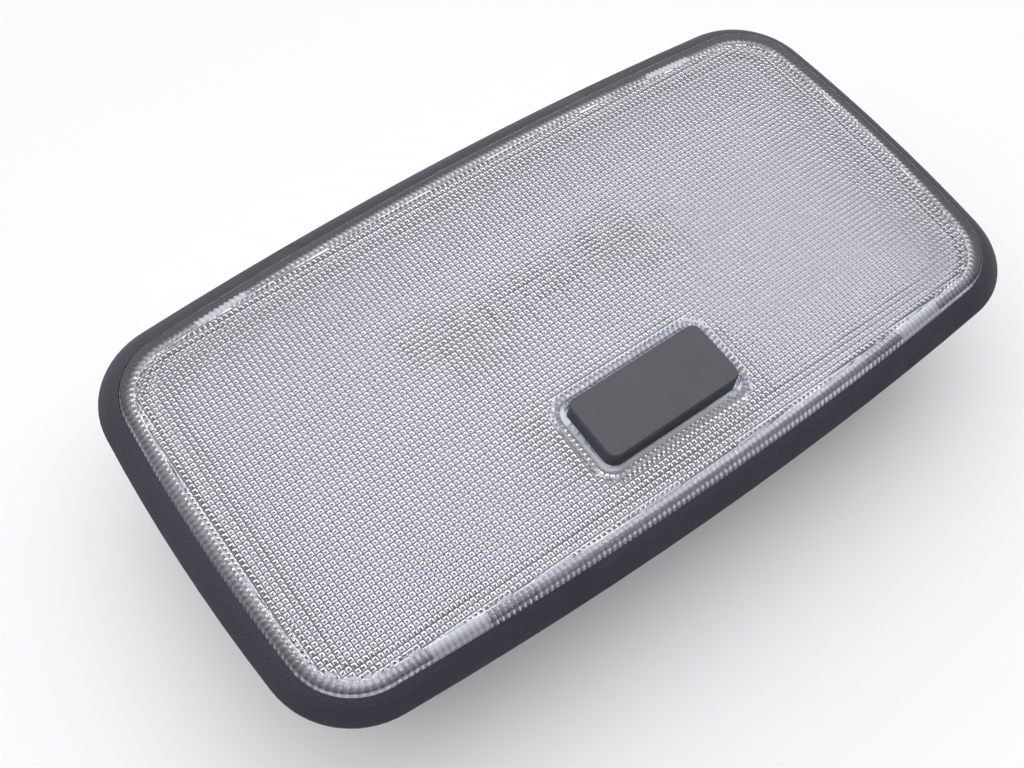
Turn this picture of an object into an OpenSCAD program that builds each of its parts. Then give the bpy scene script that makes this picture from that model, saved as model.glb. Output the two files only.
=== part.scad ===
// Rear seat light for a car: a clear crowned lens in a bowed dark frame, a push button in the
// lens that works a changeover switch, and a festoon bulb in a moulded back shell.
// It lies on its back, lens up. The origin is the middle of the plane that its feet stand on.

/* [Frame] */
// Overall length of the frame
frame_l = 154; // [140:1:190]
// Overall width of the frame
frame_w = 83.2; // [80:0.2:105]
// Corner radius of the frame, seen from above
corner_r = 15.4; // [15:0.1:20]
// Half the angle that each long side bends through, in degrees
side_a = 4.67; // [3:0.01:6]
// Half the angle that each short end bends through, in degrees
end_a = 4.36; // [2.5:0.01:6]
// Width of the dark border round the lens
border_w = 3.75; // [3.1:0.05:4.5]
// Radius of the border's rounded face
border_arc_r = 7; // [6:0.5:12]
// Height of the lip at the border's outer edge
lip_h = 0.5; // [0.4:0.05:0.8]
// Wall of the skirt that reaches into the headliner
skirt_t = 1.6; // [1.3:0.05:2]
// Reach of the skirt below the headliner face
skirt_h = 7; // [6.8:0.1:8.5]

/* [Lens] */
// Height of the lens apex above the headliner face
lens_rise = 5.5; // [5:0.1:7]
// Height of the lens edge above the headliner face
edge_rise = 3.1; // [2.8:0.1:3.4]
// Thickness of the lens
lens_t = 2; // [1.6:0.1:2.4]
// Height of the lens wall that stands on the frame's ledge
lens_wall_h = 3; // [2.6:0.1:3.2]
// Thickness of that wall
lens_wall_t = 1.25; // [1.1:0.05:1.6]
// Radius of the lens shoulder
shoulder_r = 2.3; // [2.3:0.1:2.8]
// Crown radius of the lens along its length
crown_long_r = 2500; // [2000:50:4000]
// Crown radius of the lens across its width
crown_cross_r = 757; // [600:10:1200]
// Gap between the lens and the frame
lens_gap = 0.12; // [0.05:0.01:0.3]
// Width of each lens hook
hook_w = 10; // [6:0.5:12]

/* [Button] */
// Length of the button at its top
button_l = 27.8; // [22:0.1:34]
// Width of the button at its top
button_w = 12.5; // [12:0.1:16]
// Corner radius of the button
button_r = 1.8; // [1.6:0.1:3]
// Height of the button's top above the lens apex
button_rise = 1.45; // [1:0.05:2]
// How far the button goes in
travel = 2; // [1.6:0.1:2.2]
// Gap between the button and its opening
button_gap = 0.4; // [0.3:0.05:0.6]
// Distance from the frame's near edge to the middle of the button
button_edge = 21.3; // [19:0.1:24]

/* [Back shell] */
// Height of the headliner face above the feet
back_depth = 24; // [23:0.5:30]
// Wall of the back shell
shell_t = 1.6; // [1.2:0.1:2]
// Floor thickness of the back shell
floor_t = 1.8; // [1.4:0.1:2.4]
// Height of the feet under the floor
foot_h = 10.4; // [9:0.1:12.5]
// Diameter of each foot
foot_d = 8; // [6:0.5:10]
// Gap between the back shell and the skirt
shell_gap = 0.2; // [0.1:0.05:0.4]

/* [Bulb] */
// Diameter of the bulb's glass
glass_d = 10.5; // [8:0.1:12]
// Length of the bulb from tip to tip
bulb_l = 41; // [36:0.5:44]
// Diameter of the bulb's metal caps
cap_d = 8.2; // [6.6:0.1:9]
// Distance of the bulb from the middle line
bulb_y = 9; // [7:0.5:14]
// Height of the bulb's axis above the floor
bulb_h = 7.4; // [6.6:0.1:8]

/* [Connector] */
// Distance of the connector from the middle, along the length
conn_x = 46; // [44:0.5:50]
// Spacing of the connector's three blades
pitch = 5; // [4.5:0.1:6]
// Width of each blade
blade_w = 2.8; // [2.3:0.1:3.2]
// Thickness of the brass strip
strip_t = 0.8; // [0.6:0.05:0.8]
// Width of the brass strip
strip_w = 3.5; // [3:0.1:4]

/* [Hidden] */
eps = 0.01;
big = 200;
half_l = frame_l / 2;
half_w = frame_w / 2;

// Plan outline: four large arcs and four corner arcs. The reach of an arc is the distance from
// its centre to the corner centres, and the two reaches make every pair of arcs tangent.
reach_l = half_l - corner_r;
reach_w = half_w - corner_r;
cross = sin(side_a) * sin(end_a) - (1 - cos(side_a)) * (1 - cos(end_a));
side_reach = (reach_l * sin(end_a) - reach_w * (1 - cos(end_a))) / cross;
end_reach = (reach_w * sin(side_a) - reach_l * (1 - cos(side_a))) / cross;
side_r = side_reach + corner_r;
end_r = end_reach + corner_r;
side_c = [0, half_w - side_r];
end_c = [half_l - end_r, 0];
corner_c = [side_reach * sin(side_a), end_reach * sin(end_a)];

// Heights of the frame and the lens
face_z = back_depth;
edge_z = face_z + edge_rise;
apex_z = face_z + lens_rise;
button_z = apex_z + button_rise;
ledge_z = edge_z - lens_wall_h;
skirt_z = face_z - skirt_h;

// Distances in from the frame's outer edge
skirt_out = border_w + 0.25;
skirt_in = skirt_out + skirt_t;
shell_out = skirt_in + shell_gap;
shell_in = shell_out + shell_t;
rim_w = 1.6;
web_in = 2.2;

// Lens hooks and the windows that they catch in
hook_x = half_l - 28;
hook_t = 1.05;
hook_gap = 0.15;
catch_z = ledge_z - 1.8;
window_h = 2.9;
barb_h = 1.8;

// Spring clips beside the hooks
clip_x = hook_x - hook_w / 2 - 4.5;
clip_w = 7;
clip_t = 0.5;
clip_bulge = 2.2;

// Floor of the back shell
floor_z = foot_h;
floor_top = floor_z + floor_t;
shell_top = ledge_z - 0.3;
stop_h = 1.3;
base_r = 3;
foot_at = [half_l - 19, half_w - 19.6];
nose_w = 6;
nose_z = skirt_z + 1.6;
nose_h = 1.4;
nose_x = [0, 22];

// Button, its opening and its collar
sw_y = -(half_w - button_edge);
cap_t = 1.4;
cap_wall = 1.2;
cap_h = 6.2;
draft = 0.12;
open_l = button_l + 2 * (button_gap + draft);
open_w = button_w + 2 * (button_gap + draft);
open_r = button_r + button_gap;
collar_t = 0.75;
collar_z = ledge_z + 0.7;

// Switch
case_l = 26;
case_w = 12;
case_wall = 1.4;
cover_t = 1.7;
play = 0.3;
base_top = floor_top + cover_t;
case_z = base_top + 8.3;
cavity_l = case_l - 2 * case_wall;
cavity_w = case_w - 2 * case_wall;
cavity_top = case_z - 1.5;
slider_z = base_top + travel + 0.4;
slider_top = cavity_top - 0.2;
slider_w = cavity_w - 2 * play;
slider_x = [play - cavity_l / 2, 7];
stem = [12, 5];
ear_x = 15.6;
ear_y = 4.6;
ear_d = 5;
screw_d = 2.2;
spring_x = -8;
spring_d = 4.25;
wire_d = 0.45;
spring_turns = 5;
latch_x = -1.1;
latch_d = 0.7;
latch_y = cavity_w / 2 + 0.5;
latch_tip_z = slider_z + 1;
latch_reach = 1.35;
groove_w = 1.2;
groove_h = travel + latch_d + 0.3;
touch_x = 9.2;
touch_d = 2.4;
leaf_t = 0.4;
touch_t = 0.4;

// Brass strips behind the floor
strip_z = floor_z - strip_t;
conn_y = sw_y + 14.3;
feed_y = bulb_y + 11;
lamp_y = sw_y + 12.3;
earth_y = sw_y - 9.3;
door_x = conn_x - pitch - 10;
conn_in = [3 * pitch + 2.4, 10];
conn_wall = 1.4;
conn_z = 1;
blade_z = 2.6;
slot_w = strip_t + 0.3;
lamp_rise = sw_y + 4.3;
door_rise = cavity_l / 2 - 0.1;
earth_rise = sw_y - 4.35;

// Bulb and its spring contacts
bulb_z = floor_top + bulb_h;
contact_t = 0.5;
contact_x = bulb_l / 2 - 1.2;
contact_w = 7;
tab_x = contact_x + 4.6;
foot_z = floor_top + strip_t;
rivet_x = contact_x + 2.9;
glass_half = bulb_l / 2 - 7;
neck_r = cap_d / 2 - 0.45;
dome_x = glass_half + 0.3 - sqrt(glass_d * glass_d / 4 - neck_r * neck_r);
glass_t = 0.6;
lead_d = 0.3;

// Lines that the strips follow behind the floor, and the melted pins that hold them
run_x = tab_x + (strip_w - strip_t) / 2;
feed_run = [[-run_x, bulb_y], [-run_x, feed_y], [conn_x + pitch, feed_y], [conn_x + pitch, conn_y]];
lamp_run = [[run_x, bulb_y], [run_x, lamp_y], [spring_x, lamp_y],
    [spring_x, lamp_rise - strip_t + strip_w / 2]];
door_run = [[conn_x - pitch, conn_y], [door_x, conn_y], [door_x, sw_y],
    [door_rise - strip_t + strip_w / 2, sw_y]];
earth_run = [[conn_x, conn_y], [conn_x, earth_y], [touch_x, earth_y],
    [touch_x, earth_rise + strip_t - strip_w / 2]];
stakes = [[-10, feed_y], [16, feed_y], [conn_x + pitch, 8], [8, lamp_y], [run_x, 0],
    [door_x, sw_y + 6], [36, earth_y], [22, earth_y]];

// Reflector tray
sheet_t = 0.5;
tray_z = foot_z + contact_t - 0.1;
tray_top = ledge_z - 2.6;
tray_in = [shell_in + 6.2, shell_in + 1];

dark = "#3d4048";
clear = "#c3c6cf";
pale = "#dfe0e2";
metal = "#b9bcc2";
brass = "#c7a552";

function arc(c, r, a0, a1, n) = [for (i = [0:n]) let (a = a0 + (a1 - a0) * i / n) c + r * [cos(a), sin(a)]];

// One quarter of the outline, moved in by d, without its points on the axes
function quarter(d) = concat(
    arc(end_c, end_r - d, end_a / 4, end_a, 3),
    arc(corner_c, corner_r - d, end_a + 8, 82 - side_a, 8),
    arc(side_c, side_r - d, 90 - side_a, 90 - side_a / 10, 9));

// The whole outline, moved in by d
function outline(d) =
    let (q = quarter(d), n = len(q) - 1)
    concat(q,
        [for (i = [0:n]) [-q[n - i].x, q[n - i].y]],
        [for (i = [0:n]) -q[i]],
        [for (i = [0:n]) [q[n - i].x, -q[n - i].y]]);

// Centre of the circle of radius r through a and b, on the left of the way from a to b
function arc_centre(a, b, r) =
    let (d = b - a, l = norm(d), h = sqrt(r * r - l * l / 4))
    (a + b) / 2 + h * [-d.y, d.x] / l;

// Moves in a round step and a small one, so that long arcs meet without a step between them
module shift(v) {
    coarse = [for (c = v) round(c * 100) / 100];
    translate(coarse) translate(v - coarse) children();
}

// Sweeps a section along the outline: x is 0 at the outer edge, y is the height
module sweep_edge() {
    for (turn = [0, 180]) rotate(turn) {
        shift(side_c) rotate_extrude(start = 90 - side_a, angle = 2 * side_a, $fn = 720)
            shift([side_r, 0]) children();
        shift(end_c) rotate_extrude(start = -end_a, angle = 2 * end_a, $fn = 360)
            shift([end_r, 0]) children();
    }
    for (mx = [0, 1], my = [0, 1]) mirror([mx, 0, 0]) mirror([0, my, 0])
        shift(corner_c) rotate_extrude(start = end_a, angle = 90 - side_a - end_a, $fn = 80)
            shift([corner_r, 0]) children();
}

// Places children at the long sides: local y is 0 at the outer edge and points outwards
module at_sides(xs) {
    for (turn = [0, 180], x = xs, flip = x == 0 ? [0] : [0, 1]) rotate(turn) mirror([flip, 0, 0])
        translate(side_c) rotate(-asin(x / side_r)) translate([0, side_r]) children();
}

// Places children at the short ends in the same way
module at_ends(y) {
    for (turn = [0, 180], flip = [0, 1]) rotate(turn) mirror([0, flip, 0])
        translate(end_c) rotate(asin(y / end_r)) translate([end_r, 0]) rotate(-90) children();
}

// Box given by its lowest and highest corners
module block(lo, hi) {
    translate(lo) cube(hi - lo);
}

module rounded_rect(l, w, r) {
    square([l - 2 * r, w], center = true);
    square([l, w - 2 * r], center = true);
    for (sx = [-1, 1], sy = [-1, 1]) translate([sx * (l / 2 - r), sy * (w / 2 - r)]) circle(r, $fn = 48);
}

// Everything below a crowned surface whose apex is at height z
module below_crown(z) {
    swing = asin(half_l * 1.15 / crown_long_r);
    translate([0, 0, z - crown_long_r]) rotate([90, 0, 0]) rotate(90 - swing)
        rotate_extrude(angle = 2 * swing, $fn = 1800)
            intersection() {
                translate([crown_long_r - crown_cross_r, 0]) circle(crown_cross_r, $fn = 900);
                translate([crown_long_r - 14, -half_w * 1.2]) square([20, half_w * 2.4]);
            }
}

// Frame
module frame_section() {
    face = arc_centre([0, face_z + lip_h], [lens_gap - border_w, edge_z], border_arc_r);
    intersection() {
        translate(face) circle(border_arc_r, $fn = 180);
        polygon([
            [0, face_z], [0, edge_z + 1], [lens_gap - border_w, edge_z + 1], [lens_gap - border_w, ledge_z],
            [-skirt_in, ledge_z], [-skirt_in, skirt_z], [-skirt_out, skirt_z], [-skirt_out, ledge_z - 2.1],
            [-web_in, face_z + 0.2], [-web_in, face_z + 1.2], [-rim_w, face_z + 0.9], [-rim_w, face_z]
        ]);
    }
}

module bezel() {
    color(dark) difference() {
        sweep_edge() frame_section();
        at_sides([hook_x]) {
            block([-hook_w / 2 - 0.4, -skirt_in - 1, catch_z - window_h],
                [hook_w / 2 + 0.4, -web_in - 0.6, catch_z]);
            block([-hook_w / 2 - 0.4, -skirt_in - 1, catch_z - eps],
                [hook_w / 2 + 0.4, hook_gap - border_w - lens_t + hook_t + 0.1, ledge_z + eps]);
        }
        at_sides(nose_x) nose_window();
        at_ends(12) nose_window();
    }
}

module nose_window() {
    block([-nose_w / 2 - 0.3, -skirt_in - 1, nose_z - 0.2],
        [nose_w / 2 + 0.3, 1 - skirt_out, nose_z + nose_h + 0.2]);
}

// Lens
module lens_section() {
    centre = [-border_w - shoulder_r, edge_z + 1.85 - shoulder_r];
    intersection() {
        union() {
            translate(centre) circle(shoulder_r, $fn = 96);
            translate([centre.x, ledge_z]) square([shoulder_r, centre.y - ledge_z]);
        }
        translate([-border_w - lens_t, ledge_z]) square([lens_t, big]);
    }
}

// Space inside the wall, up to the underside of the crown
module lens_hollow() {
    intersection() {
        sweep_edge() translate([-border_w - lens_t - 1, ledge_z - 1])
            square([lens_t + 1 - lens_wall_t, big]);
        below_crown(apex_z - lens_t);
    }
}

module lens_hook() {
    inner = -border_w - lens_t + 0.1;
    tip = catch_z - hook_gap - barb_h;
    block([-hook_w / 2, inner, tip], [hook_w / 2, inner + hook_t, ledge_z + 1.4]);
    translate([-hook_w / 2, inner + hook_t, 0]) rotate([90, 0, 90]) linear_extrude(hook_w)
        polygon([
            [-0.1, tip], [0.1, tip], [0.65, tip + barb_h - 0.5], [0.65, tip + barb_h], [-0.1, tip + barb_h]
        ]);
}

module lens() {
    color(clear) difference() {
        union() {
            difference() {
                intersection() {
                    sweep_edge() lens_section();
                    below_crown(apex_z);
                }
                lens_hollow();
            }
            difference() {
                intersection() {
                    translate([0, 0, ledge_z]) linear_extrude(10) polygon(outline(border_w + lens_t - 0.1));
                    below_crown(apex_z);
                }
                below_crown(apex_z - lens_t);
            }
            intersection() {
                translate([0, sw_y, collar_z]) linear_extrude(10)
                    rounded_rect(open_l + 2 * collar_t, open_w + 2 * collar_t, open_r + collar_t);
                below_crown(apex_z - lens_t / 2);
            }
            at_sides([hook_x]) lens_hook();
        }
        translate([0, sw_y, collar_z - 1]) linear_extrude(20) rounded_rect(open_l, open_w, open_r);
    }
}

// Back shell
module shell_section() {
    difference() {
        translate([-shell_out - base_r, floor_z]) square([base_r, shell_top - floor_z]);
        translate([-shell_out - base_r, floor_z - eps]) difference() {
            square([base_r + 1, base_r + eps]);
            translate([0, base_r + eps]) circle(base_r, $fn = 64);
        }
        translate([-shell_in - base_r, floor_top]) square([base_r, big]);
    }
    translate([-shell_out - eps, skirt_z - 0.1 - stop_h]) square([shell_out - skirt_out + eps, stop_h]);
}

module snap_nose() {
    translate([-nose_w / 2, -shell_out, nose_z]) rotate([90, 0, 90]) linear_extrude(nose_w)
        polygon([[-0.1, 0], [1.3, 0], [1.3, 0.4], [0, nose_h], [-0.1, nose_h]]);
}

module strip_run(points, w) {
    for (i = [1:len(points) - 1]) {
        a = points[i - 1];
        b = points[i];
        block([min(a.x, b.x) - w / 2, min(a.y, b.y) - w / 2, strip_z],
            [max(a.x, b.x) + w / 2, max(a.y, b.y) + w / 2, floor_z]);
    }
}

module stake_pins() {
    for (p = stakes) translate([p.x, p.y, 0]) {
        translate([0, 0, strip_z - 0.1]) cylinder(d = 1.6, h = strip_t + 0.2, $fn = 32);
        translate([0, 0, strip_z - 0.75]) cylinder(d1 = 1.9, d2 = 2.8, h = 0.75, $fn = 32);
    }
}

module connector_shroud() {
    translate([conn_x, conn_y, conn_z]) difference() {
        linear_extrude(floor_z - conn_z + eps)
            rounded_rect(conn_in.x + 2 * conn_wall, conn_in.y + 2 * conn_wall, 2);
        translate([0, 0, -1]) linear_extrude(floor_z - conn_z + 1)
            square(conn_in, center = true);
        block([-3, conn_in.y / 2 - 1, -1], [3, conn_in.y / 2 + conn_wall + 1, 4]);
    }
}

// Slots in the floor where the strips come through to the front
module strip_slots() {
    long = strip_w + 0.4;
    for (p = [
        [-tab_x, bulb_y, slot_w, long], [tab_x, bulb_y, slot_w, long],
        [door_rise - strip_t / 2, sw_y, slot_w, long],
        [spring_x, lamp_rise - strip_t / 2, long, slot_w],
        [touch_x, earth_rise + strip_t / 2, long, slot_w]
    ]) translate([p[0], p[1], 0]) linear_extrude(big) square([p[2], p[3]], center = true);
}

module housing() {
    color(pale) difference() {
        union() {
            sweep_edge() shell_section();
            translate([0, 0, floor_z]) linear_extrude(floor_t) polygon(outline(shell_out + base_r - 0.2));
            at_sides(nose_x) snap_nose();
            at_ends(12) snap_nose();
            for (sx = [-1, 1], sy = [-1, 1]) translate([sx * foot_at.x, sy * foot_at.y, 0]) {
                cylinder(d = foot_d, h = floor_z + eps, $fn = 64);
                for (a = [0, 90]) rotate(a) block([-5, -0.6, 3], [5, 0.6, floor_z + eps]);
            }
            for (s = [-1, 1]) translate([s * ear_x, sw_y - s * ear_y, floor_z - 4])
                cylinder(d = ear_d, h = 4 + eps, $fn = 48);
            for (sx = [-1, 1], sy = [-1, 1])
                translate([sx * (half_l - 24), sy * (half_w - 17), floor_top - eps])
                    cylinder(d = 4, h = tray_z - floor_top + eps, $fn = 32);
            stake_pins();
            connector_shroud();
        }
        for (sx = [-1, 1], sy = [-1, 1]) translate([sx * foot_at.x, sy * foot_at.y, -1])
            cylinder(d = foot_d - 3, h = floor_z, $fn = 64);
        for (s = [-1, 1]) translate([s * ear_x, sw_y - s * ear_y, floor_z - 3])
            cylinder(d = 1.8, h = 10, $fn = 32);
        for (i = [-3:3])
            block([i * 4 - 0.8, bulb_y - 6, floor_z - 1], [i * 4 + 0.8, bulb_y + 6, floor_top + 1]);
        at_sides([clip_x])
            block([-clip_w / 2 - 0.3, -skirt_in - clip_t - 0.15, skirt_z - 3],
                [clip_w / 2 + 0.3, 0, skirt_z + 5]);
        strip_slots();
        strip_run([[conn_x + pitch, conn_y], [conn_x + pitch, conn_y + 9]], strip_w + 0.4);
        strip_run([[conn_x - pitch, conn_y], [conn_x - pitch - 9, conn_y]], strip_w + 0.4);
        strip_run([[conn_x, conn_y], [conn_x, conn_y - 9]], strip_w + 0.4);
    }
}

// Steel spring clips that grip the edge of the opening in the headliner
module clip_section() {
    polygon([
        [-skirt_in - clip_t, skirt_z - clip_t], [-skirt_out + 0.6, skirt_z - clip_t],
        [-skirt_out + clip_bulge, skirt_z + 3], [-skirt_out + clip_bulge - 0.1, skirt_z + 3.8],
        [-skirt_out + 0.9, skirt_z + 5.4], [-skirt_out + 0.5, skirt_z + 5.1],
        [-skirt_out + clip_bulge - 0.7, skirt_z + 3.5], [-skirt_out + 0.3, skirt_z],
        [-skirt_in - 0.03, skirt_z], [-skirt_in - 0.03, skirt_z + 4.6], [-skirt_in - clip_t, skirt_z + 4.6]
    ]);
}

module headliner_clips() {
    color(metal) at_sides([clip_x])
        translate([-clip_w / 2, 0, 0]) rotate([90, 0, 90]) linear_extrude(clip_w) clip_section();
}

// Reflector
module tray(grow, z0, z1) {
    hull() {
        translate([0, 0, z0]) linear_extrude(eps) polygon(outline(tray_in[0] + grow));
        translate([0, 0, z1]) linear_extrude(eps) polygon(outline(tray_in[1] + grow));
    }
}

module reflector() {
    color(metal) difference() {
        tray(0, tray_z, tray_top);
        tray(sheet_t, tray_z + sheet_t, tray_top + eps);
        block([-ear_x - 4, sw_y - ear_y - 3.4, 0], [ear_x + 4, sw_y + ear_y + 3.4, tray_z + 2]);
        for (s = [-1, 1]) translate([s * (contact_x + 2.6), bulb_y, 0])
            block([-4.6, -5.2, 0], [4.6, 5.2, tray_z + 1]);
        for (i = [-3:3]) block([i * 4 - 0.6, bulb_y - 4, 0], [i * 4 + 0.6, bulb_y + 4, tray_z + 1]);
    }
}

// Festoon bulb, turned on its axis
module on_bulb_axis() {
    translate([0, bulb_y, bulb_z]) rotate([0, 90, 0]) children();
}

// Half section of the glass: a tube of radius r with two domes and two necks
module bulb_shape(r, neck, reach) {
    translate([0, -reach]) square([neck, 2 * reach]);
    translate([0, -dome_x]) square([r, 2 * dome_x]);
    for (s = [-1, 1]) intersection() {
        translate([0, s * dome_x]) circle(r, $fn = 96);
        translate([0, -glass_half - 1]) square([r + 1, 2 * glass_half + 2]);
    }
}

module bulb_glass() {
    color("#e6eef2") on_bulb_axis() rotate_extrude($fn = 96) difference() {
        bulb_shape(glass_d / 2, neck_r, glass_half + 3);
        bulb_shape(glass_d / 2 - glass_t, neck_r - glass_t, glass_half + 2.2);
        translate([0, -big]) square([lead_d / 2, 2 * big]);
    }
}

module bulb_caps() {
    color(metal) for (turn = [0, 180]) translate([0, bulb_y, bulb_z]) rotate(turn) rotate([0, 90, 0])
        rotate_extrude($fn = 96) difference() {
            polygon([
                [0, glass_half + 0.4], [cap_d / 2 + 0.1, glass_half + 0.4], [cap_d / 2 + 0.1, glass_half + 1],
                [cap_d / 2, glass_half + 1.2], [cap_d / 2, glass_half + 3.6],
                [cap_d / 2 - 0.8, glass_half + 4.6], [1.9, bulb_l / 2 - 1.6],
                [1.5, bulb_l / 2 - 0.3], [1.1, bulb_l / 2], [0, bulb_l / 2]
            ]);
            translate([0, glass_half]) square([neck_r + 0.05, 3.4]);
        }
}

module bulb_filament() {
    coils = 12;
    coil_l = 9;
    lead_l = glass_half + 3.3;
    color("#8d8f94") on_bulb_axis() {
        rotate_extrude($fn = 48) polygon(concat([[0, -coil_l / 2]],
            [for (i = [0:2 * coils]) [i % 2 == 0 ? 0.35 : 0.6, coil_l * (i / (2 * coils) - 0.5)]],
            [[0, coil_l / 2]]));
        translate([0, 0, -lead_l]) cylinder(d = lead_d, h = 2 * lead_l, $fn = 24);
    }
}

// Spring contacts that hold the bulb by its tips
module bulb_contacts() {
    color(metal) for (turn = [0, 180]) translate([0, bulb_y, 0]) rotate(turn) difference() {
        translate([0, contact_w / 2, 0]) rotate([90, 0, 0]) linear_extrude(contact_w) polygon([
            [contact_x, foot_z], [tab_x + 0.2, foot_z], [tab_x + 0.2, foot_z + contact_t],
            [contact_x + contact_t, foot_z + contact_t], [contact_x + contact_t, bulb_z + 3.9],
            [contact_x + contact_t + 1, bulb_z + 5.6], [contact_x + 1.07, bulb_z + 5.85],
            [contact_x, bulb_z + 4.05]
        ]);
        translate([contact_x - 1, 0, bulb_z]) rotate([0, 90, 0]) cylinder(d = 4, h = 3, $fn = 48);
        translate([rivet_x, 0, foot_z - 1]) cylinder(d = 2.1, h = 4, $fn = 32);
    }
}

module contact_rivets() {
    color(metal) for (s = [-1, 1]) translate([s * rivet_x, bulb_y, 0]) {
        translate([0, 0, floor_top]) cylinder(d = 2, h = strip_t + contact_t + 0.1, $fn = 32);
        translate([0, 0, foot_z + contact_t]) cylinder(d1 = 3.6, d2 = 2.6, h = 0.7, $fn = 32);
    }
}

// Brass strips, each stamped and bent from one piece
module blade(x) {
    translate([x, conn_y + strip_t / 2, 0]) rotate([90, 0, 0]) linear_extrude(strip_t) polygon([
        [-blade_w / 2, strip_z + eps], [-blade_w / 2, blade_z + 0.8], [0.5 - blade_w / 2, blade_z],
        [blade_w / 2 - 0.5, blade_z], [blade_w / 2, blade_z + 0.8], [blade_w / 2, strip_z + eps]
    ]);
}

module strip_holes() {
    for (p = stakes) translate([p.x, p.y, 0]) cylinder(d = 1.7, h = floor_z + 1, $fn = 32);
}

// Tab that rises through the floor and lies under the spring contact
module bulb_tab(side) {
    mirror([side < 0 ? 1 : 0, 0, 0]) difference() {
        union() {
            block([tab_x - strip_t / 2, bulb_y - strip_w / 2, strip_z],
                [tab_x + strip_t / 2, bulb_y + strip_w / 2, foot_z]);
            block([contact_x + 0.8, bulb_y - strip_w / 2, floor_top], [tab_x, bulb_y + strip_w / 2, foot_z]);
        }
        translate([rivet_x, bulb_y, floor_top - 1]) cylinder(d = 2.1, h = 4, $fn = 32);
    }
}

module feed_terminal() {
    color(brass) difference() {
        union() {
            strip_run(feed_run, strip_w);
            blade(conn_x + pitch);
            bulb_tab(-1);
        }
        strip_holes();
    }
}

module lamp_terminal() {
    w = strip_w / 2;
    color(brass) difference() {
        union() {
            strip_run(lamp_run, strip_w);
            bulb_tab(1);
            block([spring_x - w, lamp_rise - strip_t, strip_z], [spring_x + w, lamp_rise, base_top]);
            block([spring_x - w, sw_y, base_top - strip_t], [spring_x + w, lamp_rise, base_top]);
            translate([spring_x, sw_y, base_top - strip_t]) cylinder(d = 4.6, h = strip_t, $fn = 48);
        }
        strip_holes();
        translate([spring_x, sw_y, base_top - 2]) cylinder(d = 2.2, h = 4, $fn = 32);
    }
}

module door_terminal() {
    w = strip_w / 2;
    arm_z = slider_z + touch_t + 0.5;
    color(brass) difference() {
        union() {
            strip_run(door_run, strip_w);
            blade(conn_x - pitch);
            block([door_rise - strip_t, sw_y - w, strip_z], [door_rise, sw_y + w, arm_z + strip_t]);
            block([touch_x - touch_d / 2 - 0.2, sw_y - w, arm_z], [door_rise, sw_y + w, arm_z + strip_t]);
        }
        strip_holes();
    }
}

module earth_terminal() {
    top = floor_top + strip_t;
    color(brass) difference() {
        union() {
            strip_run(earth_run, strip_w);
            blade(conn_x);
            block([touch_x - strip_w / 2, earth_rise, strip_z],
                [touch_x + strip_w / 2, earth_rise + strip_t, top]);
            block([touch_x - touch_d / 2, earth_rise, floor_top],
                [touch_x + touch_d / 2, sw_y + touch_d / 2, top]);
        }
        strip_holes();
    }
}

module fixed_contacts() {
    color("#d5d6d8") translate([touch_x, sw_y, 0]) {
        translate([0, 0, floor_top + strip_t]) cylinder(d = touch_d, h = 0.4, $fn = 48);
        translate([0, 0, slider_z + touch_t + 0.1]) cylinder(d = touch_d, h = 0.4, $fn = 48);
    }
}

// Switch
module ears(z0, z1, d) {
    for (s = [-1, 1]) {
        translate([s * ear_x, -s * ear_y, z0]) cylinder(d = d, h = z1 - z0, $fn = 48);
        block([min(s * (ear_x - 3.4), s * ear_x), -s * ear_y - d / 2, z0],
            [max(s * (ear_x - 3.4), s * ear_x), -s * ear_y + d / 2, z1]);
    }
}

module ear_holes() {
    for (s = [-1, 1]) translate([s * ear_x, -s * ear_y, 0]) cylinder(d = screw_d + 0.2, h = big, $fn = 32);
}

module switch_base() {
    color(pale) translate([0, sw_y, 0]) difference() {
        union() {
            block([-case_l / 2, -case_w / 2, floor_top], [case_l / 2, case_w / 2, base_top]);
            ears(floor_top, base_top, ear_d);
            translate([spring_x, 0, base_top - eps]) cylinder(d = 2, h = 1.6, $fn = 32);
        }
        ear_holes();
        difference() {
            union() {
                translate([spring_x, 0, base_top - strip_t]) cylinder(d = 4.8, h = 1, $fn = 48);
                block([spring_x - strip_w / 2 - 0.1, 0, base_top - strip_t],
                    [spring_x + strip_w / 2 + 0.1, lamp_rise - sw_y, base_top + 1]);
            }
            translate([spring_x, 0, 0]) cylinder(d = 2, h = big, $fn = 32);
        }
        block([1.6, -2.8, floor_top + strip_t - 0.1], [touch_x + 2, 2.8, base_top + 1]);
        block([touch_x - touch_d / 2 - 0.2, -4.4, 0], [touch_x + touch_d / 2 + 0.2, 1.6, base_top + 1]);
        translate([0, -sw_y, 0]) strip_slots();
        translate([latch_x, latch_y, base_top - 1]) cylinder(d = latch_d + 0.2, h = 2, $fn = 24);
    }
}

module switch_case() {
    color(pale) translate([0, sw_y, 0]) difference() {
        union() {
            block([-case_l / 2, -case_w / 2, base_top], [case_l / 2, case_w / 2, case_z]);
            ears(base_top, base_top + 1.5, ear_d);
        }
        block([-cavity_l / 2, -cavity_w / 2, base_top - 1], [cavity_l / 2, cavity_w / 2, cavity_top]);
        block([-stem.x / 2 - play, -stem.y / 2 - play, cavity_top - 1],
            [stem.x / 2 + play, stem.y / 2 + play, case_z + 1]);
        block([latch_x - 1.6, 0, base_top - 1], [latch_x + 1.6, case_w, cavity_top - 0.8]);
        ear_holes();
    }
}

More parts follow.
